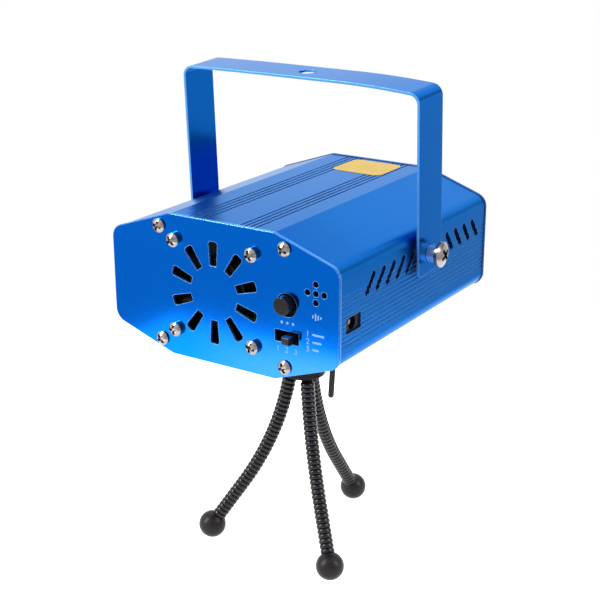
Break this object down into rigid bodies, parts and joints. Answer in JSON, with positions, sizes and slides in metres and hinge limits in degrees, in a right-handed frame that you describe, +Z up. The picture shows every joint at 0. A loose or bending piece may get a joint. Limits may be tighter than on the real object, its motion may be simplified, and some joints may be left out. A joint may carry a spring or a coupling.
{
  "type": "laser show projector",
  "caption": "Eight-sided blue metal party laser projector with a hanging yoke, rear fan grille and controls, front window, and a small stand with bendable ribbed legs and ball feet.",
  "frame": {"origin": "on the floor under the axis of the stand, which is near the middle of the whole part's box", "axes": "+Z up, +Y the way the beams leave the front window, +X to the side with the power jack"},
  "size_m": [0.109, 0.1117, 0.1803],
  "materials": {
    "blue_anodised": "satin anodised, bright blue",
    "blue_panel": "smooth anodised, bright blue",
    "nickel": "bright nickel plated steel",
    "steel": "plain zinc plated",
    "aluminium": "plain milled",
    "brass": "plain turned",
    "black_plastic": "moulded, fine texture",
    "board": "solder masked circuit board",
    "black_metal": "satin black",
    "black_rubber": "soft moulded",
    "glass": "clear",
    "white_plastic": "moulded gear plastic"
  },
  "bodies": {
    "stand_hub": {"tripod_hub": "black_plastic"},
    "head": {"tripod_platform": "black_plastic", "tripod_pad": "black_rubber", "tripod_screw": "steel"},
    "tilt_lock": {"tilt_lever": "black_metal", "tilt_bolt": "black_metal"},
    "projector": {"case_shell": "blue_anodised", "rear_panel": "blue_panel", "front_panel": "blue_panel", "rear_panel_screws": "nickel", "front_panel_screws": "nickel", "optics_chassis": "steel", "chassis_screws": "nickel", "tripod_insert": "brass", "fan_frame": "black_plastic", "fan_bearing": "brass", "fan_screws": "nickel", "fan_nuts": "steel", "control_board": "board", "board_fixings": "steel", "speed_pot": "black_plastic", "mode_switch": "black_plastic", "microphone": "black_plastic", "power_jack": "black_plastic", "power_jack_pin": "brass", "window_bezel": "black_metal", "window_ring_nut": "black_metal", "window_glass": "glass", "grating_motor": "steel", "laser_block": "aluminium", "green_laser": "brass", "red_laser": "brass", "laser_lenses": "glass", "laser_fixings": "steel", "driver_board": "board", "yoke_screws": "nickel", "yoke_sleeves": "nickel", "yoke_washers": "steel", "yoke_nuts": "steel"},
    "yoke": {"yoke": "blue_anodised"},
    "fan": {"fan_rotor": "black_plastic", "fan_shaft": "steel"},
    "knob": {"speed_knob": "black_plastic", "pot_shaft": "steel"},
    "slider": {"mode_slider": "black_plastic"},
    "grating": {"grating_ring": "white_plastic", "grating_film": "glass", "grating_clip": "steel"},
    "motor": {"motor_pinion": "white_plastic", "motor_shaft": "steel"},
    "leg_left": {"leg_sleeve_left": "black_rubber", "leg_core_left": "steel", "leg_foot_left": "black_rubber"},
    "leg_middle": {"leg_sleeve_middle": "black_rubber", "leg_core_middle": "steel", "leg_foot_middle": "black_rubber"},
    "leg_right": {"leg_sleeve_right": "black_rubber", "leg_core_right": "steel", "leg_foot_right": "black_rubber"}
  },
  "joints": [
    {"name": "head_tilt", "type": "hinge", "parent": "stand_hub", "child": "head", "pos_m": [0, 0, 0.07676], "axis": [1, 0, 0], "range_deg": [-45, 45]},
    {"name": "head_pan", "type": "hinge", "parent": "head", "child": "projector", "pos_m": [0, 0, 0.08801], "axis": [0, 0, 1], "range_deg": [-90, 90]},
    {"name": "lever_turn", "type": "hinge", "parent": "stand_hub", "child": "tilt_lock", "pos_m": [0, 0, 0.07676], "axis": [1, 0, 0], "range_deg": [-60, 60]},
    {"name": "yoke_swing", "type": "hinge", "parent": "projector", "child": "yoke", "pos_m": [0, 0.00574, 0.12131], "axis": [1, 0, 0], "range_deg": [-100, 55]},
    {"name": "fan_spin", "type": "hinge", "parent": "projector", "child": "fan", "pos_m": [-0.003, -0.04976, 0.11346], "axis": [0, 1, 0], "continuous": true},
    {"name": "knob_turn", "type": "hinge", "parent": "projector", "child": "knob", "pos_m": [0.0261, -0.04876, 0.11491], "axis": [0, -1, 0], "range_deg": [-140, 140]},
    {"name": "mode_slide", "type": "slide", "parent": "projector", "child": "slider", "axis": [1, 0, 0], "range_m": [-0.0044, 0.0006]},
    {"name": "grating_spin", "type": "hinge", "parent": "projector", "child": "grating", "pos_m": [0, 0.04664, 0.11301], "axis": [0, 1, 0], "continuous": true},
    {"name": "motor_spin", "type": "hinge", "parent": "projector", "child": "motor", "pos_m": [-0.0168, 0.04664, 0.11301], "axis": [0, 1, 0], "continuous": true},
    {"name": "leg_left_splay", "type": "hinge", "parent": "stand_hub", "child": "leg_left", "pos_m": [-0.00393, -0.00293, 0.06756], "axis": [-0.5976, 0.8018, 0], "range_deg": [-15, 18]},
    {"name": "leg_middle_splay", "type": "hinge", "parent": "stand_hub", "child": "leg_middle", "pos_m": [0.00367, -0.00325, 0.06756], "axis": [-0.6626, -0.749, 0], "range_deg": [-15, 18]},
    {"name": "leg_right_splay", "type": "hinge", "parent": "stand_hub", "child": "leg_right", "pos_m": [0.00019, 0.0049, 0.06756], "axis": [0.9993, -0.0384, 0], "range_deg": [-15, 18]}
  ],
  "couplings": [
    {"joint": "motor_spin", "follows": "grating_spin", "ratio": -3}
  ]
}
